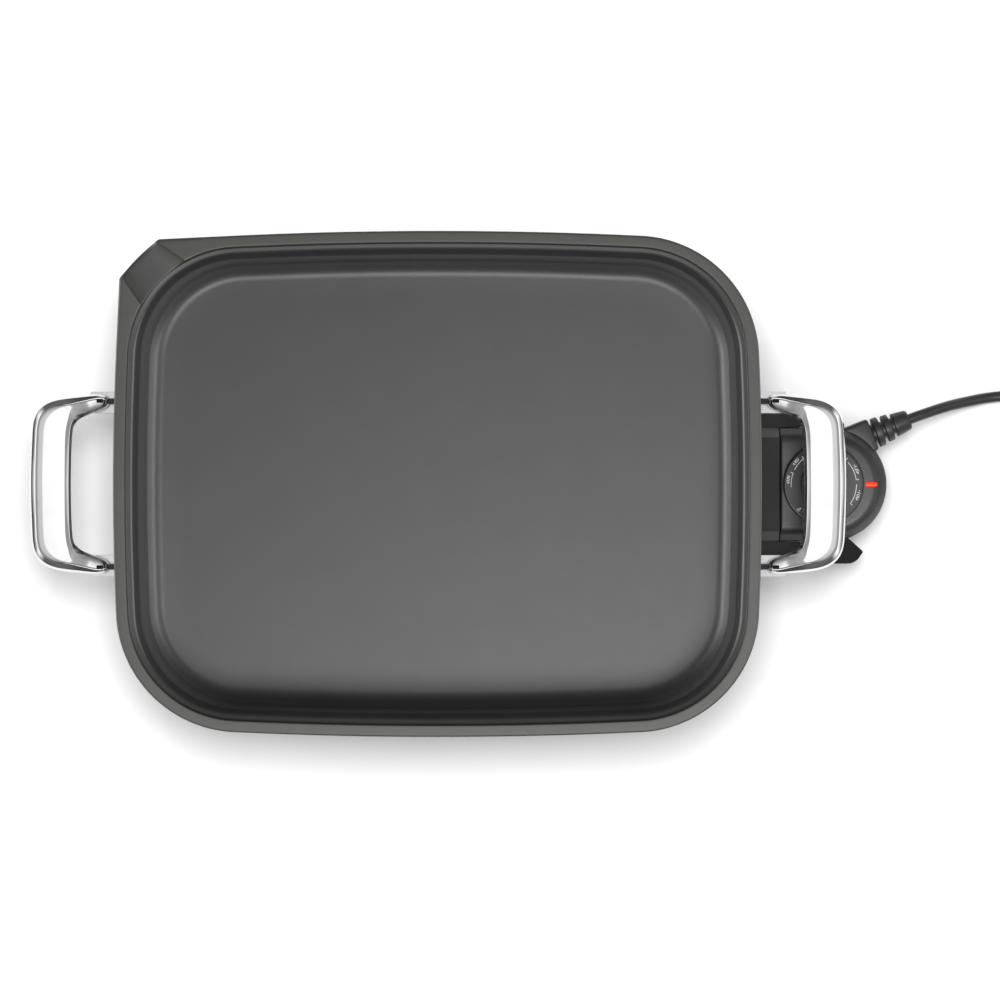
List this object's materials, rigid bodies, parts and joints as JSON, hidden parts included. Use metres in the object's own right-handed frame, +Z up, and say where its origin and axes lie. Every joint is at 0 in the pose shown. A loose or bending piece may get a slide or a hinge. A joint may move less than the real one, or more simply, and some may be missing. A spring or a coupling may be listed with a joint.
{
  "type": "electric frypan",
  "caption": "Rectangular cast non-stick electric frypan with corner spout, chrome side handles and a plug-in temperature control on a short cord.",
  "frame": {"origin": "on the table, in the middle of the footprint of the vessel, its handles and the control, without the cord", "axes": "+X along the vessel's length towards the temperature control, +Y towards the side with the pouring spout, +Z up"},
  "size_m": [0.7318, 0.315, 0.108],
  "materials": {
    "nonstick": "dark non-stick coating on die-cast aluminium, fine speckle",
    "cast_aluminium": "as cast",
    "sheath_steel": "drawn tube",
    "steel": "zinc plated",
    "chrome": "bright chrome plating",
    "brass": "plain",
    "nickel": "nickel plated",
    "ceramic": "unglazed steatite",
    "leg_plastic": "moulded phenolic, fine texture",
    "probe_plastic": "moulded, fine spark texture",
    "dial_plastic": "moulded, pale printed scale",
    "trigger_plastic": "polished black",
    "plunger_plastic": "natural acetal",
    "lens_red": "translucent red",
    "lamp_glass": "neon lamp",
    "foot_rubber": "silicone",
    "cord_sheath": "semi-matte sheath",
    "plug_plastic": "moulded"
  },
  "bodies": {
    "base": {"cooking_vessel": "nonstick", "heat_spreader": "cast_aluminium", "heating_element": "sheath_steel", "terminal_pins": "nickel", "pin_insulators": "ceramic", "left_handle": "chrome", "right_handle": "chrome", "handle_brackets": "chrome", "bracket_rivets": "chrome", "handle_screws": "steel", "root_spacers": "leg_plastic", "left_leg": "leg_plastic", "right_leg_guard": "leg_plastic", "heat_washers": "ceramic", "leg_studs": "steel", "leg_nuts": "steel", "rubber_feet": "foot_rubber"},
    "control": {"probe_upper_shell": "probe_plastic", "probe_lower_shell": "probe_plastic", "probe_nose": "probe_plastic", "sensor_tube": "steel", "transfer_rod": "sheath_steel", "terminal_receptacles": "brass", "thermostat_frame": "steel", "shaft_bushing": "brass", "moving_contact": "brass", "fixed_contact": "brass", "contact_insulators": "ceramic", "stack_screw": "steel", "indicator_lamp": "lamp_glass", "lamp_lens": "lens_red", "internal_leads": "cord_sheath", "cord_clamp": "probe_plastic", "clamp_screws": "steel", "shell_screws": "steel", "trigger_pin": "steel", "trigger_spring": "steel", "plunger_spring": "steel", "push_bead": "ceramic", "strain_relief": "cord_sheath", "cord_lead": "cord_sheath", "cord_coil": "cord_sheath", "cord_tail": "cord_sheath", "cord_tie": "plug_plastic", "plug_body": "plug_plastic", "plug_pins": "nickel"},
    "dial_knob": {"dial": "dial_plastic", "dial_grip": "dial_plastic", "dial_shaft": "steel"},
    "release_trigger": {"trigger": "trigger_plastic"},
    "plunger": {"ejector_plunger": "plunger_plastic"}
  },
  "joints": [
    {"name": "control_slide", "type": "slide", "parent": "base", "child": "control", "axis": [1, 0, 0], "range_m": [0, 0.12]},
    {"name": "dial_turn", "type": "hinge", "parent": "control", "child": "dial_knob", "pos_m": [0.23015, 0, 0.046], "axis": [0, 0, 1], "range_deg": [-215, 40]},
    {"name": "trigger_squeeze", "type": "hinge", "parent": "control", "child": "release_trigger", "pos_m": [0.23455, -0.0295, 0.028], "axis": [0, 0, 1], "range_deg": [0, 14], "stiffness_Nm_per_rad": 0.4, "springref_deg": -17.19, "deforming": ["trigger_spring"]},
    {"name": "plunger_push", "type": "slide", "parent": "control", "child": "plunger", "axis": [-1, 0, 0], "range_m": [0, 0.002], "deforming": ["plunger_spring"]}
  ],
  "couplings": [
    {"joint": "plunger_push", "follows": "trigger_squeeze", "m_per_rad": 0.0075}
  ]
}
